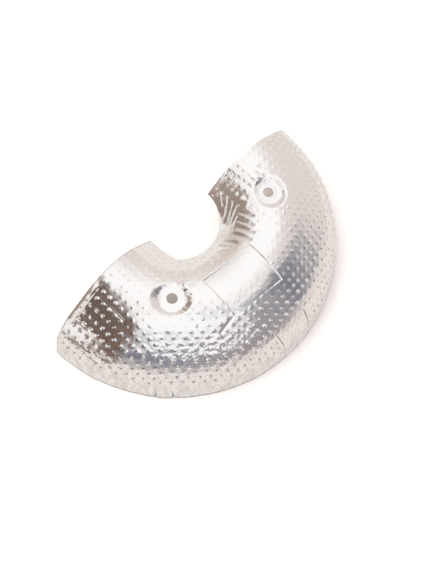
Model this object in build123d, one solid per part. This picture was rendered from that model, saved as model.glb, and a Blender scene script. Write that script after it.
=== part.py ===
"""Exhaust heat shield: a half shell of thin aluminium sheet, pressed to cover a U-bend in an exhaust pipe.

It lies open side down on its outer rim, with the bend's outside towards -Y and both ends towards +Y.
Lengths are millimetres. Angles are degrees round the bend axis, from the middle of the bend (-Y) towards +X.
"""
import os
from math import degrees, radians, tan

from build123d import *

# The sheet and its cross-section, from the outer rim up over the crown and down to the inner edge
SHEET = 0.8
RIM_RADIUS = 105.0
SKIRT_DRAFT = 3.7
SKIRT_HEIGHT = 17.0
SHOULDER_RUN = 7.0
SHOULDER_RISE = 11.5
OUTER_SLOPE_RUN = 42.3
OUTER_SLOPE_RISE = 18.7
INNER_SLOPE_RUN = 36.0
INNER_SLOPE_DROP = 34.2
SKIRT_ROUND = 5.0
SHOULDER_ROUND = 22.0
CROWN_ROUND = 40.0
ROUND_STEP = 10.0

# Ends and inner edge: the right end is cut almost through the bend axis, the left end is cut askew
RIGHT_END_SKEW = 1.0
LEFT_END_SKEW = 5.75
LEFT_END_OVERHANG = 5.4
INNER_EDGE_RADIUS = 26.2
LEFT_INNER_EDGE = 18.8
END_BAND_WIDTH = 4.0
END_BAND_DEPTH = 0.35

# Bolt pads: flat round seats pressed into the crown, each with a bolt hole
HOLE_DIAMETER = 6.4
HOLE_FROM_PEAK = 4.3
LEFT_HOLE_ANGLE = -48.1
RIGHT_HOLE_ANGLE = 58.2
PAD_FLAT_DIAMETER = 16.0
PAD_DEPTH = 2.2
PAD_WALL_ANGLE = 28.0

# Bare rectangular field on the crown, kept flat for stamping
FIELD_WIDTH = 36.0
FIELD_LENGTH = 28.0
FIELD_FROM_PEAK = 6.0
FIELD_ANGLE = -4.9
FIELD_DEPTH = 0.5

# Creases where the skirt was gathered: a pair beside the middle panel, and a short pair at the rim
CREASE_WIDTH = 1.2
CREASE_DEPTH = 0.6
PANEL_MIDDLE_ANGLE = 0.4
PANEL_HALF_ANGLE = 6.4
PANEL_CREASE_REACH = 14.0
TAB_MIDDLE_ANGLE = -48.4
TAB_HALF_ANGLE = 2.7
TAB_CREASE_REACH = 2.0

# Pleats pressed across the inside of the bend, high on the crown's inner flank
PLEAT_COUNT = 6
PLEAT_FIRST_ANGLE = 10.5
PLEAT_PITCH = 6.1
PLEAT_TILT = 28.0
PLEAT_HEADING = 13.0
PLEAT_RADIUS = 1.5
PLEAT_DEPTH = 0.7
PLEAT_BAR_LENGTH = 12.0

# Gathers below the pleats, which run along the right limb's inner flank and drift towards its end
GATHER_COUNT = 4
GATHER_LENGTH = 9.5
GATHER_WIDTH = 1.2
GATHER_DEPTH = 0.5
GATHER_FIRST_RADIUS = 33.8
GATHER_SPACING = 2.1
GATHER_FIRST_ANGLE = 43.0
GATHER_DRIFT = 2.0
GATHER_TURN = 12.0

# Two stray creases: one along the left limb's outer slope, one out from the field's corner
STRAY_WIDTH = 1.0
STRAY_DEPTH = 0.3
LIMB_CREASE_LENGTH = 22.0
LIMB_CREASE_FROM_PEAK = 19.8
LIMB_CREASE_ANGLE = -75.2
LIMB_CREASE_TURN = -14.8
CORNER_CREASE_LENGTH = 11.5
CORNER_CREASE_GAP = 1.5
CORNER_CREASE_TURN = 12.0

# How far the trimming shapes reach past the sheet
BEYOND = 20.0


def section_corners():
    """Corners of the outer section line as (radius, height), from the rim's foot to the inner edge."""
    foot = Vector(RIM_RADIUS, 0)
    skirt_top = foot + Vector(-SKIRT_DRAFT, SKIRT_HEIGHT)
    shoulder = skirt_top + Vector(-SHOULDER_RUN, SHOULDER_RISE)
    peak = shoulder + Vector(-OUTER_SLOPE_RUN, OUTER_SLOPE_RISE)
    inner_end = peak + Vector(-INNER_SLOPE_RUN, -INNER_SLOPE_DROP)
    return [foot, skirt_top, shoulder, peak, inner_end]


def inset_corners(inset):
    """The section corners after each stretch has moved inwards by inset, parallel to itself."""
    corners = section_corners()
    runs = [(b - a).normalized() for a, b in zip(corners, corners[1:])]
    normals = [Vector(-run.Y, run.X) for run in runs]
    moved = [corners[0] + normals[0] * inset]
    for corner, before, after in zip(corners[1:], normals, normals[1:]):
        moved.append(corner + (before + after) * (inset / (1 + before.dot(after))))
    moved.append(corners[-1] + normals[-1] * inset)
    return moved


def rounded_line(inset):
    """Section line of the surface that lies inset below the outer surface, with true arcs at its rounds."""
    rounds = [SKIRT_ROUND - inset, SHOULDER_ROUND - inset, CROWN_ROUND - inset]
    return FilletPolyline(*inset_corners(inset), radius=rounds)


def section_line(inset):
    """The same line with each arc as short straight runs, which makes the sheet of plain cones with few facets."""
    line = rounded_line(inset)
    points = []
    for edge in line.edges():
        turn = 0 if edge.geom_type == GeomType.LINE else degrees(edge.length / edge.radius)
        runs = max(1, round(turn / ROUND_STEP))
        points += [edge @ (run / runs) for run in range(runs)]
    return Polyline(*points, line @ 1)


def ring_under(inset):
    """Full ring of everything under that surface, carried on below the table."""
    line = section_line(inset)
    start = line @ 0
    end = line @ 1
    closing = Polyline(end, (end.X, -BEYOND), (start.X, -BEYOND), start)
    return revolve(Plane.XZ * make_face([line, closing]), Axis.Z, 360)


def strip(angle, from_radius, to_radius, width):
    """Plan of a straight strip that points away from the bend axis."""
    middle = (from_radius + to_radius) / 2
    return Rot(0, 0, angle) * Pos(0, -middle) * Rectangle(width, to_radius - from_radius)


def sheet_plan():
    """Plan of the trimmed sheet: two end cuts, and the opening inside the bend."""
    reach = RIM_RADIUS + BEYOND
    left_end = (-reach, LEFT_END_OVERHANG - reach * tan(radians(LEFT_END_SKEW)))
    right_end = (reach, -reach * tan(radians(RIGHT_END_SKEW)))
    ends = [left_end, (0, LEFT_END_OVERHANG), (0, 0), right_end]
    outline = Polyline(*ends, (reach, -reach), (-reach, -reach), close=True)
    past_left_edge = Rectangle(reach, 2 * reach, align=(Align.MAX, Align.CENTER))
    opening = Circle(INNER_EDGE_RADIUS) - Pos(-LEFT_INNER_EDGE, 0) * past_left_edge
    return make_face(outline) - opening


def left_band(width):
    """Plan of a band of that width along the left end's edge."""
    edge = Pos(0, LEFT_END_OVERHANG) * Rot(0, 0, LEFT_END_SKEW)
    band = Rectangle(RIM_RADIUS + BEYOND, width + BEYOND, align=(Align.MAX, Align.MIN))
    return edge * Pos(0, -width) * band


def field(margin):
    """Plan of the rectangular field, grown by margin on every side."""
    middle = peak_radius() + FIELD_FROM_PEAK
    plan = Rectangle(FIELD_WIDTH + 2 * margin, FIELD_LENGTH + 2 * margin)
    return Rot(0, 0, FIELD_ANGLE) * Pos(0, -middle) * plan


def skirt_crease(angle, reach, margin):
    """Plan of a crease that runs up the skirt from the rim, grown by margin on every side."""
    return strip(angle, RIM_RADIUS - reach - margin, RIM_RADIUS + BEYOND, CREASE_WIDTH + 2 * margin)


def peak_radius():
    """Radius at which the two slopes of the section would meet."""
    return section_corners()[3].X


def crown_arc():
    """The rounded crown of the outer section line."""
    return rounded_line(0).edges().filter_by(GeomType.CIRCLE).sort_by(Axis.Y)[-1]


def crown_height():
    """Height of the crown's highest point."""
    return crown_arc().arc_center.Y + CROWN_ROUND


def hole_place(angle):
    """Place of a bolt hole's axis on the table."""
    return Rot(0, 0, angle) * Pos(0, -peak_radius() - HOLE_FROM_PEAK)


def pad_dish(angle, inset):
    """Space over one bolt pad: a flat floor and a sloping wall, both moved out into the sheet by inset."""
    floor_height = crown_height() - PAD_DEPTH - inset
    floor_radius = PAD_FLAT_DIAMETER / 2 + inset * tan(radians(PAD_WALL_ANGLE / 2))
    top_radius = floor_radius + BEYOND / tan(radians(PAD_WALL_ANGLE))
    dish = Cone(floor_radius, top_radius, BEYOND, align=(Align.CENTER, Align.CENTER, Align.MIN))
    return hole_place(angle) * Pos(0, 0, floor_height) * dish


def pleat_bar(angle, inset):
    """Round bar laid on the crown's inner flank, all of them with one heading, thicker by inset all round."""
    centre = crown_arc().arc_center
    bar_height = CROWN_ROUND + PLEAT_RADIUS - PLEAT_DEPTH
    bar = Rot(90, 0, 0) * Cylinder(PLEAT_RADIUS + inset, PLEAT_BAR_LENGTH)
    place = Rot(0, 0, angle) * Pos(0, -centre.X, centre.Y) * Rot(-PLEAT_TILT, 0, 0) * Pos(0, 0, bar_height)
    return place * Rot(0, 0, PLEAT_HEADING - angle) * bar


def gather(order, margin):
    """Plan of one gather, turned a little out of the way round the bend, grown by margin on every side."""
    angle = GATHER_FIRST_ANGLE + GATHER_DRIFT * order**2
    radius = GATHER_FIRST_RADIUS - GATHER_SPACING * order
    plan = Rectangle(GATHER_LENGTH + 2 * margin, GATHER_WIDTH + 2 * margin)
    return Rot(0, 0, angle) * Pos(0, -radius) * Rot(0, 0, -GATHER_TURN) * plan


def limb_crease(margin):
    """Plan of the stray crease along the left limb, grown by margin on every side."""
    place = Rot(0, 0, LIMB_CREASE_ANGLE) * Pos(0, -peak_radius() - LIMB_CREASE_FROM_PEAK)
    return place * Rot(0, 0, LIMB_CREASE_TURN) * Rectangle(LIMB_CREASE_LENGTH + 2 * margin, STRAY_WIDTH + 2 * margin)


def corner_crease(margin):
    """Plan of the stray crease that runs out from the field's outer left corner, grown by margin on every side."""
    middle = peak_radius() + FIELD_FROM_PEAK
    corner = Rot(0, 0, FIELD_ANGLE) * Pos(-FIELD_WIDTH / 2, -middle - FIELD_LENGTH / 2)
    away = Pos(-CORNER_CREASE_GAP - CORNER_CREASE_LENGTH / 2, 0)
    plan = Rectangle(CORNER_CREASE_LENGTH + 2 * margin, STRAY_WIDTH + 2 * margin)
    return corner * Rot(0, 0, CORNER_CREASE_TURN) * away * plan


def pressed(region, depth):
    """Space that is emptied when that region of a surface is pressed down to depth below the outer surface."""
    return Pos(0, 0, -BEYOND) * extrude(region, RIM_RADIUS + BEYOND) - ring_under(depth)


def heat_shield():
    """The sheet between its outer and inner surfaces, each with the same features pressed in."""
    outer = ring_under(0) & extrude(sheet_plan(), RIM_RADIUS)
    inner = ring_under(SHEET)

    outer -= pressed(left_band(END_BAND_WIDTH), END_BAND_DEPTH)
    inner -= pressed(left_band(END_BAND_WIDTH + SHEET), END_BAND_DEPTH + SHEET)
    outer -= pressed(field(0), FIELD_DEPTH)
    inner -= pressed(field(SHEET), FIELD_DEPTH + SHEET)

    panel_creases = [PANEL_MIDDLE_ANGLE - PANEL_HALF_ANGLE, PANEL_MIDDLE_ANGLE + PANEL_HALF_ANGLE]
    tab_creases = [TAB_MIDDLE_ANGLE - TAB_HALF_ANGLE, TAB_MIDDLE_ANGLE + TAB_HALF_ANGLE]
    creases = [(angle, PANEL_CREASE_REACH) for angle in panel_creases]
    creases += [(angle, TAB_CREASE_REACH) for angle in tab_creases]
    for angle, reach in creases:
        outer -= pressed(skirt_crease(angle, reach, 0), CREASE_DEPTH)
        inner -= pressed(skirt_crease(angle, reach, SHEET), CREASE_DEPTH + SHEET)

    for order in range(PLEAT_COUNT):
        angle = PLEAT_FIRST_ANGLE + order * PLEAT_PITCH
        outer -= pleat_bar(angle, 0)
        inner -= pleat_bar(angle, SHEET)
    for order in range(GATHER_COUNT):
        outer -= pressed(gather(order, 0), GATHER_DEPTH)
        inner -= pressed(gather(order, SHEET), GATHER_DEPTH + SHEET)

    for stray in (limb_crease, corner_crease):
        outer -= pressed(stray(0), STRAY_DEPTH)
        inner -= pressed(stray(SHEET), STRAY_DEPTH + SHEET)

    for angle in (LEFT_HOLE_ANGLE, RIGHT_HOLE_ANGLE):
        outer -= pad_dish(angle, 0)
        inner -= pad_dish(angle, SHEET)
    shield = outer - inner
    for angle in (LEFT_HOLE_ANGLE, RIGHT_HOLE_ANGLE):
        shield -= hole_place(angle) * Cylinder(HOLE_DIAMETER / 2, 2 * RIM_RADIUS)
    return shield


def stood_on_table(shield):
    """The shield moved so that the middle of its box's underside is the origin."""
    box = shield.bounding_box()
    return Pos(-box.center().X, -box.center().Y, -box.min.Z) * shield


shield = stood_on_table(heat_shield())
shield.label = "heat_shield"
os.makedirs("parts", exist_ok=True)
export_step(shield, "parts/heat_shield.step")
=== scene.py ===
"""Exhaust heat shield of bright embossed aluminium sheet, lying open side down on a white table.

The sheet is modelled in millimetres round the bend axis, then moved into the frame in metres.
Angles are degrees round the bend axis, from the middle of the bend (-Y) towards +X.
Radii are distances from the bend axis in plan, and heights are above the table.
Headings are degrees in plan, from +X towards +Y.
A pair of values says where something starts to come in and where it is all there, in that order.
"""
from math import atan2, ceil, cos, degrees, hypot, radians, sin, tan

import bmesh
import bpy
from mathutils import Matrix, Vector, noise


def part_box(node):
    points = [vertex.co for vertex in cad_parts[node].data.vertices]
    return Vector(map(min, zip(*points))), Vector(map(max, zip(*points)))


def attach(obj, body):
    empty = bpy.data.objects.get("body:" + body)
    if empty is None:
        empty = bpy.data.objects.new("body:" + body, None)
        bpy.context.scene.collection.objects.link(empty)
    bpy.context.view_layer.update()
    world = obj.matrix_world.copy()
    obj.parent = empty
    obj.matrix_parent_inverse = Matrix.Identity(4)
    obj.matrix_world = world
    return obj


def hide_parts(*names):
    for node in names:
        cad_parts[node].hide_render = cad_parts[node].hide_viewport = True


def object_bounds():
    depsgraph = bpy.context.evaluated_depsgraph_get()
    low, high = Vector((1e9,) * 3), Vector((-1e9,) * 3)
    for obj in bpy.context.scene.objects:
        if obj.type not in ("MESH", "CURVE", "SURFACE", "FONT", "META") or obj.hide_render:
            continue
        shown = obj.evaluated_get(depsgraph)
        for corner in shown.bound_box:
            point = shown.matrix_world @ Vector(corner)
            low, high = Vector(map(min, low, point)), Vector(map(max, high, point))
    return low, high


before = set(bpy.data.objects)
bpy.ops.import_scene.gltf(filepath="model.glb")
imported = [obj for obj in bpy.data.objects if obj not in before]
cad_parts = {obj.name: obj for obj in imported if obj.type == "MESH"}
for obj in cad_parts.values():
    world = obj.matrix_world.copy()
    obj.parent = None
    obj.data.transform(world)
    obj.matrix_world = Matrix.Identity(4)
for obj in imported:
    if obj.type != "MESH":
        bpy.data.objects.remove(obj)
cad_low, cad_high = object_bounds()

MM = 0.001

# Pairs that every value has passed, and that no value reaches
ALWAYS = (-1001.0, -1000.0)
NEVER = (1000.0, 1001.0)

# The sheet and its cross-section, as in the CAD part
SHEET = 0.8
RIM_RADIUS = 105.0
SKIRT_RUN = (-3.7, 17.0)
SHOULDER_RUN = (-7.0, 11.5)
OUTER_SLOPE_RUN = (-42.3, 18.7)
INNER_SLOPE_RUN = (-36.0, -34.2)
SKIRT_ROUND = 5.0
SHOULDER_ROUND = 22.0
CROWN_ROUND = 40.0
CROWN_HEIGHT = 39.83
CROWN_RADIUS = 60.2
INNER_EDGE_RADIUS = 26.2
LEFT_INNER_EDGE = 18.8
RIGHT_END_SKEW = 1.0
LEFT_END_SKEW = 5.75
LEFT_END_OVERHANG = 5.4

# Band along the left end: a low step, then a curl down to the cut edge
END_BAND_WIDTH = 4.0
END_BAND_DEPTH = 0.08
END_BAND_CURL = 0.45
END_BAND_RADII = (60.0, 72.0)
END_BAND_MARGIN = 1.0

# Mesh spacing: rows along the section, steps round the bend, halved outside a chosen radius
ROW = 0.59
SKIRT_ROW = 1.15
SWEEP_START = 91.0
SWEEP_ANGLE = 193.0
SWEEP_STEPS = 160
FINER_OUTSIDE = 45.0
MERGE_WITHIN = 1e-4
LEVEL_WITHIN = 1e-3
SCORE_REACH = 2.0
SHARP_ANGLE = 50.0

# Embossing: round bumps on a square lattice, measured along the sheet, whose rows bow on the right
BUMP_PITCH_X = 4.8
BUMP_PITCH_Y = 4.5
BUMP_AT_X = -33.2
BUMP_AT_Y = -54.4
BUMP_RADIUS = 1.45
CROWN_BUMP_HEIGHT = 0.07
FINE_BUMP_RADIUS = 1.2
FINE_BUMP_SHARE = 0.6
BUMP_VARIETY = 0.4
BUMP_DRIFT = 0.9
BUMP_DRIFT_SIZE = 16.0
# Seed of that drift, which would otherwise start from the clock and differ in every run
BUMP_DRIFT_SEED = 1795809428
ROW_BOW_FROM = -10.0
ROW_BOW = 0.0013
# Where bumps are taller or lower: the extra height, then the angles, radii and heights where it comes in
TALLER_BUMPS = (
    (0.05, (24.0, 42.0), ALWAYS, ALWAYS),
    (0.08, (-46.0, -36.0), (57.0, 66.0), ALWAYS),
    (-0.05, (-2.0, 10.0), (57.0, 66.0), ALWAYS),
    (0.06, ALWAYS, (54.0, 44.0), ALWAYS),
    (0.12, (48.0, 60.0), (52.0, 44.0), ALWAYS),
    (0.20, (-62.0, -46.0), (70.0, 92.0), ALWAYS),
    (0.16, (-46.0, -62.0), (78.0, 92.0), ALWAYS),
    (0.10, (-66.0, -78.0), (60.0, 70.0), ALWAYS),
    (0.30, ALWAYS, (85.0, 93.0), (27.0, 19.0)),
)

# Where pressing flattened the bumps: how much of their height is lost, and where
FIELD_FLATTENING = 0.8
BAND_FLATTENING = 0.6
RIM_FLATTENING = 0.8
RIM_FLAT_HEIGHTS = (12.0, 3.0)
EDGE_FLATTENING = 0.75
EDGE_FLAT_WIDTH = 12.0
PAD_FLAT_REACH = (1.0, 6.0)
GATHER_FLATTENING = 0.8
GATHERED_FROM = (3.0, 9.0)
GATHERED_TO = (56.0, 48.0)
GATHERED_RADII = (50.0, 45.0)
PANEL_FLATTENING = 0.8
PANEL_SIDE = 1.0
PANEL_TOP_FADE = 3.0

# Unevenness of a thin sheet pressed by hand: depth and size of its dents, ripples and crinkles
DENT_DEPTH, DENT_SIZE = 0.16, 22.0
RIPPLE_DEPTH, RIPPLE_SIZE = 0.08, 7.0
CRINKLE_DEPTH, CRINKLE_SIZE = 0.03, 2.8

# Flutes round the skirt, and a rim that waves in and out and lifts off the table here and there
SKIRT_RADII = (80.0, 90.0)
FLUTE_DEPTH = 0.14
FLUTE_ANGLE = 2.2
FLUTE_LENGTH = 25.0
FLUTE_HEIGHTS = (30.0, 16.0)
RIM_WAVE = 0.3
RIM_WAVE_ANGLE = 7.0
RIM_WAVE_HEIGHTS = (14.0, 0.0)
RIM_WAVE_SLICE = 5.0
RIM_LIFT = 0.5
RIM_LIFT_ANGLE = 9.0
RIM_LIFT_HEIGHTS = (6.0, 0.0)
RIM_LIFT_SLICE = 3.0

# Crumpled skin, too fine for the mesh: its depth and size, and how much of it there is where
CRUMPLE_DEPTH, CRUMPLE_SIZE = 0.36, 2.8
LEAST_CRUMPLE = 0.1
SLOPE_CRUMPLE_FROM = (-62.0, -46.0)
SLOPE_CRUMPLE_TO = (16.0, -24.0)
SLOPE_CRUMPLE_RADII = (74.0, 86.0)
SLOPE_CRUMPLE_HEIGHTS = (10.0, 20.0)
SKIRT_CRUMPLE = 0.25
SKIRT_CRUMPLE_HEIGHTS = (24.0, 14.0)
FLANK_CRUMPLE = 0.32
FLANK_CRUMPLE_RADII = (52.0, 44.0)
PAD_CRUMPLE_FROM = (-2.5, 0.0)
PAD_CRUMPLE_TO = (7.0, 3.0)
FIELD_CRUMPLE = 0.3
FIELD_CRUMPLE_FROM = (-9.0, 7.0)
FIELD_SMOOTHING = 0.5

# Bolt pads
HOLE_RADIUS = 3.2
HOLE_DISTANCE = 56.3
HOLE_ANGLES = (-48.1, 58.2)
HOLE_MARGIN = 0.3
PAD_FLAT_RADIUS = 8.0
PAD_DEPTH = 2.2
PAD_WALL_ANGLE = 28.0
PAD_BLEND = 0.8

# Bare rectangular field, which runs out towards its outer edge, save at its right corner
FIELD_WIDTH = 36.0
FIELD_LENGTH = 28.0
FIELD_DISTANCE = 58.0
FIELD_ANGLE = -4.9
FIELD_DEPTH = 0.5
FIELD_STEP = 0.45
FIELD_RUN_OUT = 8.0
FIELD_RUN_OUT_SHARE = 0.8
FIELD_RUN_OUT_ACROSS = (15.0, 6.0)

# Slits in the skirt beside the panel and the tab: chains of angle, radius and depth from the rim up
SLITS = (
    ((-5.0, 106.0, 0.15), (-5.8, 101.0, 0.6), (-8.2, 90.7, 0.5)),
    ((6.9, 106.0, 0.3), (6.5, 100.7, 1.2), (6.8, 94.4, 0.9)),
    ((-51.1, 106.0, 1.3), (-51.1, 103.2, 0.4)),
    ((-45.7, 106.0, 1.3), (-45.7, 103.2, 0.4)),
)
SLIT_WIDTH = 0.9
SLITS_FROM_RADIUS = 82.0
PANEL_ANGLES = (-7.0, 6.8)
PANEL_TOP_RADIUS = 92.0
TAB_ANGLES = (-51.1, -45.7)
TAB_SIDE = 0.6
TAB_TOP_HEIGHT = 8.0
TAB_STAND_OFF = 0.45

# Pleats inside the bend: angle, radius and length of each
PLEATS = (
    (44.2, 40.9, 10.7),
    (36.0, 41.2, 10.4),
    (29.1, 42.3, 11.0),
    (22.4, 41.7, 11.1),
    (14.9, 37.5, 8.1),
    (8.9, 34.3, 4.4),
)
PLEAT_HEADING = -77.0
PLEAT_WIDTH = 3.4
PLEAT_DEPTH = 0.42

# Gathers of the inner edge, to the right of the pleats: angle, radius, heading and length of each
GATHERS = (
    (39.7, 34.2, 18.0, 6.0),
    (46.0, 33.1, 25.0, 11.7),
    (50.5, 31.6, 31.0, 13.0),
    (61.0, 30.5, 40.0, 11.8),
    (68.4, 29.1, 55.0, 11.7),
)
GATHER_WIDTH = 3.4
GATHER_DEPTH = 0.32

# Wrinkles pulled into the sheet by the right pad: middle, heading and length of each
WRINKLES = (
    (51.6, -16.7, -85.0, 6.2),
    (46.3, -17.9, -102.0, 5.2),
    (47.6, -18.6, -60.0, 3.6),
    (56.4, -14.6, -27.0, 3.0),
    (42.5, -19.1, -85.0, 3.0),
)
WRINKLE_WIDTH = 2.4
WRINKLE_DEPTH = 0.55

# Stray creases: middle, heading, length and depth of each
STRAY_CREASES = (
    (-69.7, -17.5, 90.0, 23.0, 0.24),
    (-31.0, -70.1, 7.0, 11.6, 0.35),
    (-30.9, -34.4, -136.6, 15.0, 0.45),
    (-28.9, -29.5, -136.6, 14.0, 0.45),
    (-21.5, -20.1, -30.0, 11.0, 0.3),
)
STRAY_WIDTH = 1.5
STRAY_LEAN = 2.0
CREASE_RUN_OUT = 1.5

# Painted shade in pleats and slits, a painted shadow along the foot of the rim, and painted shade along the
# left end
PLEAT_SHADE = 0.25
SLIT_SHADE = 0.8
MOST_SLIT_SHADE = 0.7
RIM_SHADE = 0.85
RIM_SHADE_HEIGHTS = (1.8, 0.0)
END_SHADE = 0.45
END_SHADE_REACH = (0.9, 0.0)

# Sizes of the metals' patterns in millimetres, and how dull the bright skin is
HANDLING_SIZE = 18.0
ROLLING_LINE_WIDTH = 0.9
ROLLING_LINE_STRETCH = 0.04
GRAIN_SIZE = 1.1
GRAIN_DEPTH = 0.05
# The streaks are painted reflection: darker colour down steep walls
STREAK_WIDTH = 2.5
STREAK_STRETCH = 0.1
SPECK_SIZE = 1.8
SPECK_SHARE = 0.3
TEAR_SIZE = 0.6
HEAT_BLOOM_SIZE = 14.0
BRIGHT_ROUGHNESS = (0.13, 0.23)
SHADED_ROUGHNESS = 0.5
SHEARED_ROUGHNESS = 0.38
HEATED_ROUGHNESS = (0.28, 0.5)

# The photograph's camera
IMAGE_HEIGHT = 571
FOCAL_PIXELS = 600.0
CAMERA_AZIMUTH = -60.25
CAMERA_ELEVATION = 68.8
CAMERA_ROLL = 15.2
CAMERA_DISTANCE = 389.7
AXIS_RIGHT_OF_CENTRE = -25.0
AXIS_ABOVE_CENTRE = 32.3

# What the metal mirrors: a colour, and the azimuths and elevations where it comes in and goes out
EAST_WALL = ("#E0D8D4", ((48, 70), (96, 122)), (ALWAYS, (54, 82)))
LEFT_LOW_WALL = ("#BEBABA", ((-84, -78), (-34, -14)), ((-2, 12), (18, 36)))
LEFT_WALL = ("#8E909C", ((-84, -78), (-34, -14)), ((14, 36), (50, 59)))
MIDDLE_WALL = ("#A0979A", ((-34, -14), (18, 36)), ((3, 30), (46, 58)))
RIGHT_WALL = ("#82838C", ((6, 42), (50, 84)), ((16, 40), (58, 92)))
WEST_WALL = ("#F8F5F3", (ALWAYS, (-96, -84)), (ALWAYS, NEVER))
WEST_LOW_WALL = ("#8A7B71", (ALWAYS, (-138, -116)), ((5, 16), (31, 46)))
NORTH_WALL = ("#D2C6BD", ((135, 170), NEVER), (ALWAYS, (20, 46)))
WALLS = (
    EAST_WALL, LEFT_LOW_WALL, LEFT_WALL, MIDDLE_WALL, RIGHT_WALL, WEST_WALL, WEST_LOW_WALL, NORTH_WALL,
)
CEILING_FROM = (12.0, 56.0)
ROOM_STRENGTH = 1.05

# Darker patches along the walls, which break up what the metal mirrors
PATCH_SCALE = 7.0
PATCH_SHARE = 0.5
PATCH_AZIMUTHS = ((-84, -78), (50, 72))
PATCH_ELEVATIONS = ((14, 30), (48, 62))

# Brown cards that only the metal mirrors: name, colour, height and outline in plan of each
CARDS = (
    ("near_card", "#66554C", 250.0, ((-300, 80), (-12, 80), (-190, -65), (-280, -8))),
    (
        "long_card", "#6E5242", 250.0,
        ((-280, -8), (-190, -65), (-275, -92), (-2500, -715), (-2500, -180), (-400, -30)),
    ),
    (
        "inner_card", "#A08F85", 120.0,
        ((-260, 62), (-110, 50), (0, 48), (10, 60), (-20, 300), (-260, 300)),
    ),
    ("low_card", "#75665E", 2.0, ((-600, 140), (-200, 60), (-200, -75), (-600, -170))),
)

# The lamp that gives the table its light, in degrees, metres and watts
LAMP_AZIMUTH = -132.0
LAMP_ELEVATION = 52.0
LAMP_DISTANCE = 1.2
LAMP_SIZE = 1.5
LAMP_POWER = 10.0

# The table: how much lighter it is to the eye, how even in the metal, and where it is plain white, in metres
SEEN_LIFT = 0.68
MIRRORED_SHARE = 0.7
WHITE_FROM = 0.25
TABLE_REACH = 3.0
TABLE_GAP = 0.1 * MM


def axis_place():
    """Foot of the bend axis in the frame, in metres, from the CAD box and the rim."""
    low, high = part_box("heat_shield")
    right_reach = RIM_RADIUS * cos(radians(RIGHT_END_SKEW)) * MM
    return Vector((high.x - right_reach, low.y + RIM_RADIUS * MM, low.z))


def ease(low, high, value):
    """0 below low, 1 above high, and a smooth rise between them. It falls instead where low is above high."""
    share = min(1.0, max(0.0, (value - low) / (high - low)))
    return share * share * (3.0 - 2.0 * share)


def polar(angle, radius):
    """Plan point at that angle and distance from the bend axis."""
    return Vector((radius * sin(radians(angle)), -radius * cos(radians(angle))))


def soft_min(a, b, blend):
    """The lesser of two heights, with the corner where they meet rounded off."""
    near = max(blend - abs(a - b), 0.0) / blend
    return min(a, b) - near * near * blend / 4.0


def draw_straight(bm, pen, along, length, row):
    """Draws a straight run of the section from the pen's vertex, in rows of that length."""
    steps = ceil(length / row)
    for _ in range(steps):
        pen = bmesh.ops.extrude_vert_indiv(bm, verts=[pen])["verts"][0]
        bmesh.ops.translate(bm, verts=[pen], vec=along * length / steps)
    return pen


def draw_round(bm, pen, along, radius, turn):
    """Draws a round of the section by turning the pen's vertex about the round's centre."""
    centre = pen.co + Vector((-along.z, 0.0, along.x)) * radius
    steps = max(2, ceil(radius * turn / ROW))
    made = bmesh.ops.spin(bm, geom=[pen], cent=centre, axis=(0, -1, 0), angle=turn, steps=steps)
    return next(item for item in made["geom_last"] if isinstance(item, bmesh.types.BMVert))


def draw_section(bm):
    """Outer section line in the XZ plane, from the rim's foot over the crown to below the inner edge."""
    corners = (SKIRT_RUN, SHOULDER_RUN, OUTER_SLOPE_RUN, INNER_SLOPE_RUN)
    runs = [Vector((x, 0.0, z)) for x, z in corners]
    rounds = [SKIRT_ROUND, SHOULDER_ROUND, CROWN_ROUND]
    turns = [before.angle(after) for before, after in zip(runs, runs[1:])]
    cut_backs = [0.0] + [radius * tan(turn / 2) for radius, turn in zip(rounds, turns)] + [0.0]
    pen = bm.verts.new((RIM_RADIUS, 0.0, 0.0))
    for order, run in enumerate(runs):
        along = run.normalized()
        length = run.length - cut_backs[order] - cut_backs[order + 1]
        row = SKIRT_ROW if order == 0 else ROW
        if order == len(runs) - 1:
            to_edge = (pen.co.x - INNER_EDGE_RADIUS) / -along.x
            pen = draw_straight(bm, pen, along, to_edge, row)
            length -= to_edge
        pen = draw_straight(bm, pen, along, length, row)
        if order < len(rounds):
            pen = draw_round(bm, pen, along, rounds[order], turns[order])


def sweep_sheet(bm):
    """Sweeps the section round the bend, with finer steps on the outside."""
    draw_section(bm)
    turn = Matrix.Rotation(radians(SWEEP_START - 90.0), 3, "Z")
    bmesh.ops.rotate(bm, verts=bm.verts[:], cent=(0, 0, 0), matrix=turn)
    bmesh.ops.spin(
        bm, geom=bm.verts[:] + bm.edges[:], cent=(0, 0, 0), axis=(0, 0, 1),
        angle=-radians(SWEEP_ANGLE), steps=SWEEP_STEPS,
    )
    bmesh.ops.remove_doubles(bm, verts=bm.verts[:], dist=MERGE_WITHIN)
    hoops = []
    for edge in bm.edges:
        start, end = (vert.co for vert in edge.verts)
        radius = hypot(start.x, start.y)
        round_axis = abs(radius - hypot(end.x, end.y)) < LEVEL_WITHIN
        level = abs(start.z - end.z) < LEVEL_WITHIN
        if round_axis and level and radius > FINER_OUTSIDE:
            hoops.append(edge)
    bmesh.ops.subdivide_edges(bm, edges=hoops, cuts=1)
    bmesh.ops.recalc_face_normals(bm, faces=bm.faces[:])
    top = max(bm.faces, key=lambda face: face.calc_center_median().z)
    if top.normal.z < 0:
        bmesh.ops.reverse_faces(bm, faces=bm.faces[:])


def cut(bm, faces, point, normal, clear=False):
    """Cuts those faces along a plane, and clears what lies on its normal's side if asked."""
    edges = dict.fromkeys(edge for face in faces for edge in face.edges)
    verts = dict.fromkeys(vert for face in faces for vert in face.verts)
    bmesh.ops.bisect_plane(
        bm, geom=[*verts, *edges, *faces], dist=MERGE_WITHIN, plane_co=point, plane_no=normal,
        clear_outer=clear,
    )


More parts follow.
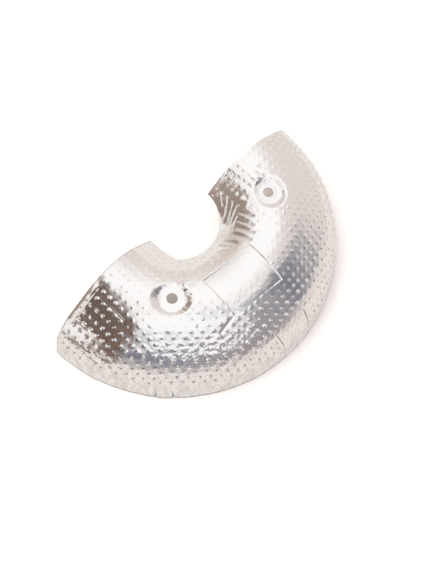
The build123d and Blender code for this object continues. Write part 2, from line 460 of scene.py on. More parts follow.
def trim_sheet(bm):
    """Trims both ends and the opening inside the bend."""
    left = [face for face in bm.faces if face.calc_center_median().x < 0]
    skew = radians(LEFT_END_SKEW)
    cut(bm, left, (0, LEFT_END_OVERHANG, 0), (-sin(skew), cos(skew), 0), clear=True)
    right = [face for face in bm.faces if face.calc_center_median().x > 0]
    skew = radians(RIGHT_END_SKEW)
    cut(bm, right, (0, 0, 0), (sin(skew), cos(skew), 0), clear=True)

    def inside_bend():
        middles = ((face, face.calc_center_median()) for face in bm.faces)
        return [face for face, middle in middles if hypot(middle.x, middle.y) < INNER_EDGE_RADIUS]

    cut(bm, inside_bend(), (-LEFT_INNER_EDGE, 0, 0), (1, 0, 0), clear=True)
    opening = [face for face in inside_bend() if face.calc_center_median().x > -LEFT_INNER_EDGE]
    bmesh.ops.delete(bm, geom=opening, context="FACES")


def field_place(point):
    """A plan point in the field's own directions: across it, and outwards along it, from its middle."""
    turned = Vector((point.x, point.y))
    turned.rotate(Matrix.Rotation(radians(-FIELD_ANGLE), 2))
    return turned.x, -turned.y - FIELD_DISTANCE


def score_field(bm):
    """Cuts edges into the mesh along both sides of the field's step, so that its outline is crisp."""
    turn = Matrix.Rotation(radians(FIELD_ANGLE), 3, "Z")
    across = turn @ Vector((1, 0, 0))
    outwards = turn @ Vector((0, -1, 0))
    middle = outwards * FIELD_DISTANCE
    for normal, half in ((across, FIELD_WIDTH / 2), (outwards, FIELD_LENGTH / 2)):
        for side in (-1, 1):
            for step in (-FIELD_STEP / 2, FIELD_STEP / 2):
                near = []
                for face in bm.faces:
                    s, t = field_place(face.calc_center_median())
                    if abs(s) < FIELD_WIDTH / 2 + SCORE_REACH and abs(t) < FIELD_LENGTH / 2 + SCORE_REACH:
                        near.append(face)
                cut(bm, near, middle + normal * side * (half + step), normal)


def score_end_band(bm):
    """Cuts edges into the mesh along both sides of the end band's step."""
    skew = radians(LEFT_END_SKEW)
    end_normal = Vector((-sin(skew), cos(skew), 0))
    for step in (0.0, FIELD_STEP):
        left = [face for face in bm.faces if face.calc_center_median().x < -LEFT_INNER_EDGE]
        place = Vector((0, LEFT_END_OVERHANG, 0)) - end_normal * (END_BAND_WIDTH + step)
        cut(bm, left, place, end_normal)


def score_slits(bm):
    """Cuts edges along the middle and both sides of each slit, which is narrower than the mesh's steps."""
    for chain in SLITS:
        for (start_angle, start_radius, _), (end_angle, end_radius, _) in zip(chain, chain[1:]):
            start = polar(start_angle, start_radius).to_3d()
            run = polar(end_angle, end_radius).to_3d() - start
            along = run.normalized()
            across = Vector((-along.y, along.x, 0.0))
            for step in (-SLIT_WIDTH / 2, 0.0, SLIT_WIDTH / 2):
                near = []
                for face in bm.faces:
                    offset = face.calc_center_median() - start
                    beside = abs(offset.dot(across)) < SLIT_WIDTH + CREASE_RUN_OUT
                    if beside and -CREASE_RUN_OUT < offset.dot(along) < run.length + CREASE_RUN_OUT:
                        near.append(face)
                cut(bm, near, start + across * step, across)


def crease(point, middle, heading, length, width, lean=1.0):
    """Share of a straight crease's depth at a plan point. The left side is lean times the right's width."""
    offset = point - middle
    along = Vector((cos(radians(heading)), sin(radians(heading))))
    to_right = offset.x * along.y - offset.y * along.x
    reach = width / 2 if to_right > 0 else lean * width / 2
    half = length / 2
    lengthwise = ease(half + CREASE_RUN_OUT, half - CREASE_RUN_OUT, abs(offset.dot(along)))
    return ease(reach, 0.0, abs(to_right)) * lengthwise


def slit_depth(point):
    """Depth of the slits at a plan point, in millimetres: narrow Vs of changing depth along their chains."""
    deepest = 0.0
    for chain in SLITS:
        for (start_angle, start_radius, start_depth), (angle, radius, end_depth) in zip(chain, chain[1:]):
            start = polar(start_angle, start_radius)
            run = polar(angle, radius) - start
            share = min(1.0, max(0.0, (point - start).dot(run) / run.length_squared))
            depth = start_depth + (end_depth - start_depth) * share
            away = (point - start - run * share).length
            deepest = max(deepest, depth * ease(SLIT_WIDTH / 2, 0.0, away))
    return deepest


def sheet_distance(radius, height):
    """Distance from the bend axis as measured along the sheet from the crown, in millimetres."""
    away = radius - CROWN_RADIUS
    drop = max(0.0, CROWN_HEIGHT - height)
    return CROWN_RADIUS + (1 if away > 0 else -1) * hypot(away, drop)


def field_share(point):
    """1 on the field, 0 off it, with a straight ramp across its scored step."""
    s, t = field_place(point)
    inside = min(FIELD_WIDTH / 2 - abs(s), FIELD_LENGTH / 2 - abs(t))
    return min(1.0, max(0.0, inside / FIELD_STEP + 0.5))


def field_depth(point):
    """Depth of the field, in millimetres: it runs out towards its outer edge, save at the right corner."""
    s, t = field_place(point)
    outer = ease(FIELD_LENGTH / 2 - FIELD_RUN_OUT, FIELD_LENGTH / 2, t) * ease(*FIELD_RUN_OUT_ACROSS, s)
    return FIELD_DEPTH * field_share(point) * (1.0 - FIELD_RUN_OUT_SHARE * outer)


def from_left_end(point):
    """Distance of a plan point from the left end's cut edge."""
    skew = radians(LEFT_END_SKEW)
    return (LEFT_END_OVERHANG - point.y) * cos(skew) + point.x * sin(skew)


def band_share(point, radius):
    """1 on the band along the left end, 0 off it, with a straight ramp across its scored step."""
    if point.x > -LEFT_INNER_EDGE + END_BAND_MARGIN:
        return 0.0
    share = min(1.0, max(0.0, (END_BAND_WIDTH + FIELD_STEP - from_left_end(point)) / FIELD_STEP))
    return share * ease(*END_BAND_RADII, radius)


def band_depth(point, radius):
    """Depth of the band along the left end, in millimetres: a low step, then a curl down to the cut edge."""
    share = band_share(point, radius)
    across = max(0.0, 1.0 - from_left_end(point) / END_BAND_WIDTH)
    return share * (END_BAND_DEPTH + END_BAND_CURL * across * across)


def tab_share(angle, height):
    """1 at the foot of the small tab in the rim, falling to 0 at its top and its sides."""
    first, last = TAB_ANGLES
    sides = ease(first, first + TAB_SIDE, angle) * ease(last, last - TAB_SIDE, angle)
    return sides * ease(TAB_TOP_HEIGHT, 0.0, height)


def bump_share(point, radius, height, angle):
    """Share of the embossing left after pressing: less on pads, field, skirt, panel, band and inner edge."""
    share = 1.0 - FIELD_FLATTENING * field_share(point)
    share *= 1.0 - BAND_FLATTENING * band_share(point, radius)
    share *= 1.0 - RIM_FLATTENING * ease(*RIM_FLAT_HEIGHTS, height)
    share *= 1.0 - EDGE_FLATTENING * ease(INNER_EDGE_RADIUS + EDGE_FLAT_WIDTH, INNER_EDGE_RADIUS, radius)
    for hole_angle in HOLE_ANGLES:
        from_wall = (point - polar(hole_angle, HOLE_DISTANCE)).length - PAD_FLAT_RADIUS
        share *= ease(*PAD_FLAT_REACH, from_wall)
    gathered = ease(*GATHERED_FROM, angle) * ease(*GATHERED_TO, angle) * ease(*GATHERED_RADII, radius)
    share *= 1.0 - GATHER_FLATTENING * gathered
    first, last = PANEL_ANGLES
    in_panel = ease(first - PANEL_SIDE, first, angle) * ease(last + PANEL_SIDE, last, angle)
    in_panel *= ease(PANEL_TOP_RADIUS - PANEL_TOP_FADE, PANEL_TOP_RADIUS, radius)
    return share * (1.0 - PANEL_FLATTENING * in_panel)


def lattice_place(point, radius, height):
    """A plan point counted in bumps along the lattice's two directions. The rows wander a little."""
    spread = sheet_distance(radius, height) / radius
    across = point.x * spread
    bowed = ROW_BOW * max(0.0, across - ROW_BOW_FROM) ** 2
    drift = noise.noise_vector(Vector((point.x, point.y, 0.0)) / BUMP_DRIFT_SIZE) * BUMP_DRIFT
    u = (across + drift.x - BUMP_AT_X) / BUMP_PITCH_X
    v = (point.y * spread + drift.y - bowed - BUMP_AT_Y) / BUMP_PITCH_Y
    return u, v


def bump_height(u, v, angle, radius, height):
    """Height of the nearest bump, in millimetres: least on the crown, most on the shoulder, all unlike."""
    size = CROWN_BUMP_HEIGHT
    for extra, angles, radii, heights in TALLER_BUMPS:
        size += extra * ease(*angles, angle) * ease(*radii, radius) * ease(*heights, height)
    return size * (1.0 + BUMP_VARIETY * noise.cell(Vector((round(u), round(v), 0.0))))


def bump_profile(u, v):
    """Share of the nearest bump's height at a place in the lattice."""
    away = hypot((u - round(u)) * BUMP_PITCH_X, (v - round(v)) * BUMP_PITCH_Y)
    return max(0.0, 1.0 - (away / BUMP_RADIUS) ** 2) ** 2


def crumple_share(point, angle, radius, height):
    """How crumpled the skin is: most left on the outer slope and round the pads, less on skirt and flank."""
    slope = ease(*SLOPE_CRUMPLE_FROM, angle) * ease(*SLOPE_CRUMPLE_TO, angle)
    slope *= ease(*SLOPE_CRUMPLE_RADII, radius) * ease(*SLOPE_CRUMPLE_HEIGHTS, height)
    skirt = SKIRT_CRUMPLE * ease(*SKIRT_CRUMPLE_HEIGHTS, height) * ease(*SKIRT_RADII, radius)
    flank = FLANK_CRUMPLE * ease(*FLANK_CRUMPLE_RADII, radius)
    share = max(LEAST_CRUMPLE, slope, skirt, flank)
    for hole_angle in HOLE_ANGLES:
        from_wall = (point - polar(hole_angle, HOLE_DISTANCE)).length - PAD_FLAT_RADIUS
        share = max(share, ease(*PAD_CRUMPLE_FROM, from_wall) * ease(*PAD_CRUMPLE_TO, from_wall))
    on_field = field_share(point)
    _, outwards = field_place(point)
    mottled = FIELD_CRUMPLE * on_field * ease(*FIELD_CRUMPLE_FROM, outwards)
    return max(mottled, share * (1.0 - FIELD_SMOOTHING * on_field))


def pleat_depth(point):
    """Depth of the pleats and gathers inside the bend at a plan point, in millimetres."""
    depth = 0.0
    for angle, radius, length in PLEATS:
        depth += PLEAT_DEPTH * crease(point, polar(angle, radius), PLEAT_HEADING, length, PLEAT_WIDTH)
    for angle, radius, heading, length in GATHERS:
        depth += GATHER_DEPTH * crease(point, polar(angle, radius), heading, length, GATHER_WIDTH)
    return depth


def wrinkle_depth(point):
    """Depth of the wrinkles beside the right pad and of the stray creases at a plan point, in millimetres."""
    depth = 0.0
    for x, y, heading, length in WRINKLES:
        depth += WRINKLE_DEPTH * crease(point, Vector((x, y)), heading, length, WRINKLE_WIDTH)
    for x, y, heading, length, deepest in STRAY_CREASES:
        depth += deepest * crease(point, Vector((x, y)), heading, length, STRAY_WIDTH, STRAY_LEAN)
    return depth


def unevenness(place, angle, radius, height):
    """Dents, ripples and crinkles all over, flutes round the skirt and waves of the rim, in millimetres."""
    lift = DENT_DEPTH * noise.noise(place / DENT_SIZE)
    lift += RIPPLE_DEPTH * noise.noise(place / RIPPLE_SIZE)
    lift += CRINKLE_DEPTH * noise.noise(place / CRINKLE_SIZE)
    on_skirt = ease(*SKIRT_RADII, radius)
    flute = noise.noise(Vector((angle / FLUTE_ANGLE, height / FLUTE_LENGTH, 0.0)))
    lift += FLUTE_DEPTH * flute * ease(*FLUTE_HEIGHTS, height) * on_skirt
    wave = noise.noise(Vector((angle / RIM_WAVE_ANGLE, 0.0, RIM_WAVE_SLICE)))
    return lift + RIM_WAVE * wave * ease(*RIM_WAVE_HEIGHTS, height) * on_skirt


def rim_lift(angle, height):
    """How far the foot of the skirt lifts off the table, in millimetres."""
    bow = max(0.0, noise.noise(Vector((angle / RIM_LIFT_ANGLE, RIM_LIFT_SLICE, 0.0))))
    return RIM_LIFT * bow * ease(*RIM_LIFT_HEIGHTS, height)


def shape_sheet(bm):
    """Moves every vertex for the embossing, the creases and the unevenness.

    Each vertex also notes what the material reads: the painted shade in creases, slits, rim and end,
    the place in the lattice with the height of the nearest bump, and how crumpled the skin is.
    """
    noise.seed_set(BUMP_DRIFT_SEED)
    # Painted shade, noted for each vertex and darkening the colour there
    painted_shade = bm.verts.layers.float.new("painted_shade")
    lattice = bm.verts.layers.float_vector.new("lattice")
    crumple = bm.verts.layers.float.new("crumple")
    bm.normal_update()
    moves = []
    for vert in bm.verts:
        point = Vector((vert.co.x, vert.co.y))
        radius = point.length
        angle = degrees(atan2(point.x, -point.y))
        height = vert.co.z
        u, v = lattice_place(point, radius, height)
        tallness = bump_share(point, radius, height, angle) * bump_height(u, v, angle, radius, height)
        vert[lattice] = (u, v, tallness)
        vert[crumple] = crumple_share(point, angle, radius, height)
        lift = tallness * bump_profile(u, v)
        lift += unevenness(vert.co, angle, radius, height)
        lift -= field_depth(point) + band_depth(point, radius)
        lift -= wrinkle_depth(point)
        if radius < HOLE_DISTANCE:
            pleats = pleat_depth(point)
            lift -= pleats
            # Painted shade darkens the pleats' colour
            vert[painted_shade] = PLEAT_SHADE * min(1.0, pleats / PLEAT_DEPTH)
        if radius > SLITS_FROM_RADIUS:
            slit = slit_depth(point)
            lift += TAB_STAND_OFF * tab_share(angle, height) - slit
            # Painted shade darkens the slits, and a painted shadow darkens the foot of the rim
            slit_shade = min(MOST_SLIT_SHADE, SLIT_SHADE * slit)
            vert[painted_shade] = max(slit_shade, RIM_SHADE * ease(*RIM_SHADE_HEIGHTS, height))
        if point.x < 0.0:
            # Painted shade darkens the left end's cut edge
            vert[painted_shade] = max(vert[painted_shade], END_SHADE * ease(*END_SHADE_REACH, from_left_end(point)))
        moves.append(vert.normal * lift + Vector((0.0, 0.0, rim_lift(angle, height))))
    for vert, move in zip(bm.verts, moves):
        vert.co += move
        vert.co.z = max(0.0, vert.co.z)


def sink_pads(bm):
    """Sinks the two flat bolt pads with their sloping walls."""
    floor = CROWN_HEIGHT - PAD_DEPTH
    for hole_angle in HOLE_ANGLES:
        centre = polar(hole_angle, HOLE_DISTANCE)
        for vert in bm.verts:
            away = (Vector((vert.co.x, vert.co.y)) - centre).length
            if away < 2 * PAD_FLAT_RADIUS:
                wall = floor + max(0.0, away - PAD_FLAT_RADIUS) * tan(radians(PAD_WALL_ANGLE))
                vert.co.z = soft_min(vert.co.z, wall, PAD_BLEND)


def open_hole(bm, angle):
    """Opens one bolt hole in the mesh and draws its edge to a true circle."""
    centre = polar(angle, HOLE_DISTANCE)

    def away(vert):
        return Vector((vert.co.x, vert.co.y)) - centre

    reach = HOLE_RADIUS + HOLE_MARGIN
    inner = [face for face in bm.faces if all(away(vert).length < reach for vert in face.verts)]
    bmesh.ops.delete(bm, geom=inner, context="FACES")
    for vert in bm.verts:
        if vert.is_boundary and away(vert).length < 2 * HOLE_RADIUS:
            edge = centre + away(vert).normalized() * HOLE_RADIUS
            vert.co.x, vert.co.y = edge


def add_wall(sheet):
    """Gives the sheet its real thickness, inwards, with the sheared metal on its edges."""
    wall = sheet.modifiers.new("wall", "SOLIDIFY")
    wall.thickness = SHEET * MM
    wall.offset = -1.0
    wall.use_rim = True
    wall.material_offset_rim = 1
    wall.material_offset = 2
    evaluated = sheet.evaluated_get(bpy.context.evaluated_depsgraph_get())
    walled = bpy.data.meshes.new_from_object(evaluated)
    sheet.modifiers.clear()
    sheet.data = walled
    for vertex in walled.vertices:
        vertex.co.z = max(cad_low[2], vertex.co.z)
    walled.shade_smooth()
    walled.set_sharp_from_angle(angle=radians(SHARP_ANGLE))


def make_sheet(materials):
    """The whole embossed sheet as one piece, with a material each for its outside, edges and inside."""
    bm = bmesh.new()
    sweep_sheet(bm)
    trim_sheet(bm)
    score_field(bm)
    score_end_band(bm)
    score_slits(bm)
    shape_sheet(bm)
    sink_pads(bm)
    for angle in HOLE_ANGLES:
        open_hole(bm, angle)
    bmesh.ops.scale(bm, vec=(MM, MM, MM), verts=bm.verts[:])
    bmesh.ops.translate(bm, vec=axis_place(), verts=bm.verts[:])
    mesh = bpy.data.meshes.new("embossed_sheet")
    bm.to_mesh(mesh)
    bm.free()
    for material in materials:
        mesh.materials.append(material)
    sheet = bpy.data.objects.new("embossed_sheet", mesh)
    bpy.context.scene.collection.objects.link(sheet)
    add_wall(sheet)
    return sheet


def linear(hex_colour):
    """An sRGB hex colour as linear RGBA."""
    shades = [int(hex_colour[i:i + 2], 16) / 255 for i in (1, 3, 5)]
    return [s / 12.92 if s <= 0.04045 else ((s + 0.055) / 1.055) ** 2.4 for s in shades] + [1.0]


def add_node(tree, kind, settings=None, **inputs):
    """Adds a node with its settings. Each input is a value, or another node's socket to link."""
    node = tree.nodes.new(kind)
    for name, value in (settings or {}).items():
        setattr(node, name, value)
    for name, value in inputs.items():
        socket = node.inputs[int(name[1:])] if name[0] == "_" else node.inputs[name.replace("_", " ")]
        if isinstance(value, bpy.types.NodeSocket):
            tree.links.new(value, socket)
        else:
            socket.default_value = value
    return node


def new_material(name):
    """An empty node material."""
    material = bpy.data.materials.new(name)
    material.use_nodes = True
    material.node_tree.nodes.clear()
    return material


def rolled_tint(tree, place, painted_shade):
    """Skin colour: painted reflection streaks on steep walls, specks on slopes, painted shade in creases."""
    facing = add_node(tree, "ShaderNodeNewGeometry").outputs["Normal"]
    upright = add_node(tree, "ShaderNodeSeparateXYZ", Vector=facing).outputs["Z"]
    # Painted reflection: darker streaks in the colour of steep walls
    steep = add_node(tree, "ShaderNodeMapRange", Value=upright, From_Min=0.75, From_Max=0.3)
    streaks_place = add_node(tree, "ShaderNodeMapping", Vector=place, Scale=(1.0, 1.0, STREAK_STRETCH))
    streaks = add_node(
        tree, "ShaderNodeTexNoise", Vector=streaks_place.outputs[0],
        Scale=1 / (STREAK_WIDTH * MM), Detail=2.0,
    )
    painted_streaks = add_node(
        tree, "ShaderNodeMapRange", Value=streaks.outputs["Fac"],
        From_Min=0.35, From_Max=0.75, To_Max=steep.outputs[0],
    )
    tint = add_node(
        tree, "ShaderNodeMix", {"data_type": "RGBA"}, _0=painted_streaks.outputs[0],
        _6=linear("#F8F6F5"), _7=linear("#DDD8D4"),
    )
    sloping = add_node(
        tree, "ShaderNodeMapRange", Value=upright, From_Min=0.98, From_Max=0.7, To_Max=SPECK_SHARE,
    )
    specks = add_node(tree, "ShaderNodeTexNoise", Vector=place, Scale=1 / (SPECK_SIZE * MM), Detail=3.0)
    specked = add_node(
        tree, "ShaderNodeMapRange", Value=specks.outputs["Fac"],
        From_Min=0.42, From_Max=0.7, To_Max=sloping.outputs[0],
    )
    tint = add_node(
        tree, "ShaderNodeMix", {"data_type": "RGBA"}, _0=specked.outputs[0],
        _6=tint.outputs[2], _7=linear("#A9A19C"),
    )
    # Painted shade: creases, slits, the rim's foot and the left end darken towards this colour
    shaded = add_node(
        tree, "ShaderNodeMix", {"data_type": "RGBA"}, _0=painted_shade, _6=tint.outputs[2], _7=linear("#5A514C"),
    )
    return shaded.outputs[2]


def rolled_dullness(tree, place, painted_shade):
    """Roughness of the rolled skin: bright, duller in handled patches, dullest under painted shade."""
    patches = add_node(tree, "ShaderNodeTexNoise", Vector=place, Scale=1 / (HANDLING_SIZE * MM), Detail=3.0)
    brightest, dullest = BRIGHT_ROUGHNESS
    handled = add_node(
        tree, "ShaderNodeMapRange", Value=patches.outputs["Fac"],
        From_Min=0.35, From_Max=0.7, To_Min=brightest, To_Max=dullest,
    )
    dull = add_node(
        tree, "ShaderNodeMapRange", Value=painted_shade, To_Min=handled.outputs[0], To_Max=SHADED_ROUGHNESS,
    )
    return dull.outputs[0]


def embossed_relief(tree, place):
    """Height of the fine embossing and the crumpled skin over the mesh, in millimetres."""
    lattice = add_node(tree, "ShaderNodeAttribute", {"attribute_name": "lattice"}).outputs["Vector"]
    tallness = add_node(tree, "ShaderNodeSeparateXYZ", Vector=lattice).outputs["Z"]
    nearest = add_node(
        tree, "ShaderNodeVectorMath", {"operation": "WRAP"}, _0=lattice,
        _1=(0.5, 0.5, 0.5), _2=(-0.5, -0.5, -0.5),
    )
    offset = add_node(
        tree, "ShaderNodeVectorMath", {"operation": "MULTIPLY"}, _0=nearest.outputs[0],
        _1=(BUMP_PITCH_X, BUMP_PITCH_Y, 0.0),
    )
    away = add_node(tree, "ShaderNodeVectorMath", {"operation": "LENGTH"}, _0=offset.outputs[0])
    profile = add_node(
        tree, "ShaderNodeMapRange", {"interpolation_type": "SMOOTHSTEP"}, Value=away.outputs["Value"],
        From_Min=FINE_BUMP_RADIUS, From_Max=0.0, To_Max=FINE_BUMP_SHARE,
    )
    dots = add_node(tree, "ShaderNodeMath", {"operation": "MULTIPLY"}, _0=profile.outputs[0], _1=tallness)
    crumple = add_node(tree, "ShaderNodeAttribute", {"attribute_name": "crumple"}).outputs["Fac"]
    folds = add_node(tree, "ShaderNodeTexNoise", Vector=place, Scale=1 / (CRUMPLE_SIZE * MM), Detail=1.0)
    deep_folds = add_node(
        tree, "ShaderNodeMath", {"operation": "MULTIPLY"}, _0=folds.outputs["Fac"], _1=CRUMPLE_DEPTH,
    )
    relief = add_node(
        tree, "ShaderNodeMath", {"operation": "MULTIPLY_ADD"}, _0=deep_folds.outputs[0], _1=crumple,
        _2=dots.outputs[0],
    )
    return relief.outputs[0]


def rolled_grain(tree, place):
    """Faint lines along the rolling direction, with a fine grain over them."""
    stretch = (ROLLING_LINE_STRETCH, 1.0, ROLLING_LINE_STRETCH)
    lines_place = add_node(tree, "ShaderNodeMapping", Vector=place, Scale=stretch)
    lines = add_node(
        tree, "ShaderNodeTexNoise", Vector=lines_place.outputs[0],
        Scale=1 / (ROLLING_LINE_WIDTH * MM), Detail=2.0,
    )
    grain = add_node(tree, "ShaderNodeTexNoise", Vector=place, Scale=1 / (GRAIN_SIZE * MM), Detail=2.0)
    fine = add_node(
        tree, "ShaderNodeMath", {"operation": "ADD"}, _0=lines.outputs["Fac"], _1=grain.outputs["Fac"],
    )
    return fine.outputs[0]


def bright_rolled_aluminium():
    """Bright rolled aluminium: embossed mirror-like skin, faint rolling lines, marks and painted shade."""
    material = new_material("bright_rolled_aluminium")
    tree = material.node_tree
    place = add_node(tree, "ShaderNodeTexCoord").outputs["Object"]
    # Painted shade of the creases, slits, rim foot and left end, read from the sheet's vertices
    painted_shade = add_node(tree, "ShaderNodeAttribute", {"attribute_name": "painted_shade"}).outputs["Fac"]
    embossed = add_node(
        tree, "ShaderNodeBump", Strength=1.0, Distance=MM, Height=embossed_relief(tree, place),
    )
    skin = add_node(
        tree, "ShaderNodeBump", Strength=0.12, Distance=GRAIN_DEPTH * MM, Height=rolled_grain(tree, place),
        Normal=embossed.outputs[0],
    )
    metal = add_node(
        tree, "ShaderNodeBsdfPrincipled", Base_Color=rolled_tint(tree, place, painted_shade), Metallic=1.0,
        Roughness=rolled_dullness(tree, place, painted_shade), Normal=skin.outputs[0],
    )
    add_node(tree, "ShaderNodeOutputMaterial", Surface=metal.outputs[0])
    return material


def sheared_aluminium():
    """Sheared aluminium edge: the same metal, torn dull and a little grey where the sheet was cut."""
    material = new_material("sheared_aluminium")
    tree = material.node_tree
    place = add_node(tree, "ShaderNodeTexCoord").outputs["Object"]
    tear = add_node(tree, "ShaderNodeTexNoise", Vector=place, Scale=1 / (TEAR_SIZE * MM), Detail=2.0)
    tint = add_node(
        tree, "ShaderNodeMix", {"data_type": "RGBA"}, _0=tear.outputs["Fac"],
        _6=linear("#D9D6D3"), _7=linear("#B9B4B0"),
    )
    metal = add_node(
        tree, "ShaderNodeBsdfPrincipled", Base_Color=tint.outputs[2], Metallic=1.0,
        Roughness=SHEARED_ROUGHNESS,
    )
    add_node(tree, "ShaderNodeOutputMaterial", Surface=metal.outputs[0])
    return material


def heat_dulled_aluminium():
    """Aluminium dulled by heat, inside: grey, a little brown in clouds, with blurred reflections."""
    material = new_material("heat_dulled_aluminium")
    tree = material.node_tree
    place = add_node(tree, "ShaderNodeTexCoord").outputs["Object"]
    bloom = add_node(tree, "ShaderNodeTexNoise", Vector=place, Scale=1 / (HEAT_BLOOM_SIZE * MM), Detail=5.0)
    tint = add_node(
        tree, "ShaderNodeMix", {"data_type": "RGBA"}, _0=bloom.outputs["Fac"],
        _6=linear("#AE9F93"), _7=linear("#7A695D"),
    )
    brightest, dullest = HEATED_ROUGHNESS
    dull = add_node(
        tree, "ShaderNodeMapRange", Value=bloom.outputs["Fac"], To_Min=brightest, To_Max=dullest,
    )
    metal = add_node(
        tree, "ShaderNodeBsdfPrincipled", Base_Color=tint.outputs[2], Metallic=1.0,
        Roughness=dull.outputs[0],
    )
    add_node(tree, "ShaderNodeOutputMaterial", Surface=metal.outputs[0])
    return material


def white_table():
    """Matt white paint: lighter to the camera, so that it is plain white, and more even in the metal."""
    material = new_material("white_table")
    tree = material.node_tree
    light_path = add_node(tree, "ShaderNodeLightPath").outputs
    seen = add_node(
        tree, "ShaderNodeMath", {"operation": "MULTIPLY_ADD"}, _0=light_path["Is Camera Ray"],
        _1=SEEN_LIFT, _2=1.0,
    )
    shade = add_node(
        tree, "ShaderNodeVectorMath", {"operation": "SCALE"}, _0=linear("#DDD9D6")[:3], Scale=seen.outputs[0],
    )
    matt = add_node(tree, "ShaderNodeBsdfDiffuse", Color=shade.outputs[0])
    even = add_node(tree, "ShaderNodeEmission", Color=linear("#FAF5F1"), Strength=1.0)
    mirrored = add_node(
        tree, "ShaderNodeMath", {"operation": "MULTIPLY"}, _0=light_path["Is Glossy Ray"], _1=MIRRORED_SHARE,
    )
    near = add_node(
        tree, "ShaderNodeMixShader", _0=mirrored.outputs[0], _1=matt.outputs[0], _2=even.outputs[0],
    )
    place = add_node(tree, "ShaderNodeTexCoord").outputs["Object"]
    away = add_node(tree, "ShaderNodeVectorMath", {"operation": "LENGTH"}, _0=place).outputs["Value"]
    far = add_node(
        tree, "ShaderNodeMapRange", Value=away, From_Min=WHITE_FROM, From_Max=2 * WHITE_FROM,
        To_Max=light_path["Is Camera Ray"],
    )
    white = add_node(tree, "ShaderNodeEmission", Color=linear("#FFFFFF"), Strength=1.0)
    top = add_node(tree, "ShaderNodeMixShader", _0=far.outputs[0], _1=near.outputs[0], _2=white.outputs[0])
    add_node(tree, "ShaderNodeOutputMaterial", Surface=top.outputs[0])
    return material


def soft_band(tree, value, rise, fall):
    """A socket that is 1 between rise and fall, each a pair of values that it eases across, and 0 outside."""
    up = add_node(
        tree, "ShaderNodeMapRange", {"interpolation_type": "SMOOTHSTEP"}, Value=value,
        From_Min=rise[0], From_Max=rise[1],
    )
    down = add_node(
        tree, "ShaderNodeMapRange", {"interpolation_type": "SMOOTHSTEP"}, Value=value,
        From_Min=fall[0], From_Max=fall[1], To_Min=1.0, To_Max=0.0,
    )
    both = add_node(tree, "ShaderNodeMath", {"operation": "MULTIPLY"}, _0=up.outputs[0], _1=down.outputs[0])
    return both.outputs[0]


def soft_patch(tree, directions, azimuths, elevations):
    """A socket that is 1 where both directions lie within their soft bands, and 0 outside."""
    azimuth, elevation = directions
    both = add_node(
        tree, "ShaderNodeMath", {"operation": "MULTIPLY"},
        _0=soft_band(tree, azimuth, *azimuths), _1=soft_band(tree, elevation, *elevations),
    )
    return both.outputs[0]


def light_room():
    """A pale room under a white ceiling. The metal mirrors its soft grey walls, and the eye sees white."""
    world = bpy.data.worlds.new("studio")
    bpy.context.scene.world = world
    world.use_nodes = True
    tree = world.node_tree
    tree.nodes.clear()
    towards = add_node(tree, "ShaderNodeTexCoord").outputs["Generated"]
    east, north, up = add_node(tree, "ShaderNodeSeparateXYZ", Vector=towards).outputs
    south = add_node(tree, "ShaderNodeMath", {"operation": "MULTIPLY"}, _0=north, _1=-1.0)
    turn = add_node(tree, "ShaderNodeMath", {"operation": "ARCTAN2"}, _0=east, _1=south.outputs[0])
    azimuth = add_node(tree, "ShaderNodeMath", {"operation": "DEGREES"}, _0=turn.outputs[0]).outputs[0]
    tilt = add_node(tree, "ShaderNodeMath", {"operation": "ARCSINE"}, _0=up)
    elevation = add_node(tree, "ShaderNodeMath", {"operation": "DEGREES"}, _0=tilt.outputs[0]).outputs[0]
    directions = (azimuth, elevation)

    room = add_node(
        tree, "ShaderNodeMix", {"data_type": "RGBA"}, _0=soft_band(tree, elevation, CEILING_FROM, NEVER),
        _6=linear("#E4DCD7"), _7=linear("#FFFFFF"),
    )
    for colour, azimuths, elevations in WALLS:
        room = add_node(
            tree, "ShaderNodeMix", {"data_type": "RGBA"},
            _0=soft_patch(tree, directions, azimuths, elevations), _6=room.outputs[2], _7=linear(colour),
        )
    patches = add_node(tree, "ShaderNodeTexNoise", Vector=towards, Scale=PATCH_SCALE, Detail=3.0)
    darker = add_node(
        tree, "ShaderNodeMapRange", Value=patches.outputs["Fac"],
        From_Min=0.42, From_Max=0.68, To_Max=PATCH_SHARE,
    )
    where = add_node(
        tree, "ShaderNodeMath", {"operation": "MULTIPLY"}, _0=darker.outputs[0],
        _1=soft_patch(tree, directions, PATCH_AZIMUTHS, PATCH_ELEVATIONS),
    )
    room = add_node(
        tree, "ShaderNodeMix", {"data_type": "RGBA"}, _0=where.outputs[0],
        _6=room.outputs[2], _7=linear("#4E4C52"),
    )
    seen = add_node(tree, "ShaderNodeLightPath").outputs["Is Camera Ray"]
    room = add_node(
        tree, "ShaderNodeMix", {"data_type": "RGBA"}, _0=seen, _6=room.outputs[2], _7=linear("#FFFFFF"),
    )
    light = add_node(tree, "ShaderNodeBackground", Color=room.outputs[2], Strength=ROOM_STRENGTH)
    add_node(tree, "ShaderNodeOutputWorld", Surface=light.outputs[0])


def direction_at(azimuth, elevation):
    """Unit direction at that azimuth, from -Y towards +X, and that elevation, in degrees."""
    turn = radians(azimuth)
    tilt = radians(elevation)
    return Vector((sin(turn) * cos(tilt), -cos(turn) * cos(tilt), sin(tilt)))


def hang_lamp():
    """One large soft lamp over the far left, for the table alone. The metal does not mirror it."""
    direction = direction_at(LAMP_AZIMUTH, LAMP_ELEVATION)
    light = bpy.data.lights.new("soft_lamp", "AREA")
    light.shape = "DISK"
    light.size = LAMP_SIZE
    light.energy = LAMP_POWER
    lamp = bpy.data.objects.new("soft_lamp", light)
    lamp.location = direction * LAMP_DISTANCE
    lamp.rotation_euler = direction.to_track_quat("Z", "Y").to_euler()
    lamp.visible_glossy = False
    bpy.context.scene.collection.objects.link(lamp)


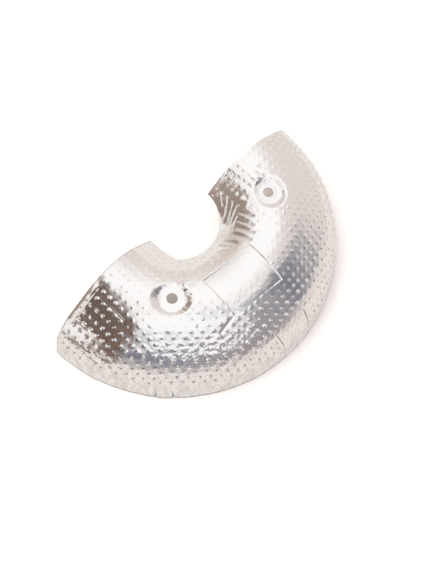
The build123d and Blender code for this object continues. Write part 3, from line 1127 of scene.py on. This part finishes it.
def place_camera():
    """The photograph's camera, from its angles round the bend axis and its focal length in pixels."""
    back = direction_at(CAMERA_AZIMUTH, CAMERA_ELEVATION)
    azimuth = radians(CAMERA_AZIMUTH)
    level_right = Vector((cos(azimuth), sin(azimuth), 0.0))
    level_up = back.cross(level_right)
    roll = radians(CAMERA_ROLL)
    right = level_right * cos(roll) + level_up * sin(roll)
    up = level_up * cos(roll) - level_right * sin(roll)
    offset = back * CAMERA_DISTANCE - right * AXIS_RIGHT_OF_CENTRE - up * AXIS_ABOVE_CENTRE
    lens = bpy.data.cameras.new("photo_camera")
    lens.lens = FOCAL_PIXELS * lens.sensor_width / IMAGE_HEIGHT
    camera = bpy.data.objects.new("photo_camera", lens)
    turned = Matrix((right, up, back)).transposed().to_4x4()
    camera.matrix_world = Matrix.Translation(axis_place() + offset * MM) @ turned
    bpy.context.scene.collection.objects.link(camera)
    bpy.context.scene.camera = camera


def hang_card(name, colour, height, outline):
    """A flat card over or on the table that only reflections show, and that throws no shadow."""
    bm = bmesh.new()
    corners = [bm.verts.new((x * MM, y * MM, height * MM)) for x, y in outline]
    bmesh.ops.contextual_create(bm, geom=corners)
    bmesh.ops.translate(bm, vec=axis_place(), verts=corners)
    bmesh.ops.triangulate(bm, faces=bm.faces[:])
    mesh = bpy.data.meshes.new(name)
    bm.to_mesh(mesh)
    bm.free()
    material = new_material(name)
    glow = add_node(material.node_tree, "ShaderNodeEmission", Color=linear(colour), Strength=1.0)
    add_node(material.node_tree, "ShaderNodeOutputMaterial", Surface=glow.outputs[0])
    mesh.materials.append(material)
    card = bpy.data.objects.new(name, mesh)
    bpy.context.scene.collection.objects.link(card)
    card.visible_camera = False
    card.visible_diffuse = False
    card.visible_shadow = False


def lay_table():
    """A wide white table, just under the rim."""
    bm = bmesh.new()
    bmesh.ops.create_grid(bm, x_segments=1, y_segments=1, size=TABLE_REACH)
    bmesh.ops.translate(bm, vec=(0.0, 0.0, cad_low[2] - TABLE_GAP), verts=bm.verts[:])
    mesh = bpy.data.meshes.new("table")
    bm.to_mesh(mesh)
    bm.free()
    mesh.materials.append(white_table())
    table = bpy.data.objects.new("table", mesh)
    bpy.context.scene.collection.objects.link(table)


sheet = make_sheet([bright_rolled_aluminium(), sheared_aluminium(), heat_dulled_aluminium()])
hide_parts("heat_shield")
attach(sheet, "root")
lay_table()
for card_name, card_colour, card_height, card_outline in CARDS:
    hang_card(card_name, card_colour, card_height, card_outline)
light_room()
hang_lamp()
place_camera()
bpy.context.scene.view_settings.view_transform = "Standard"
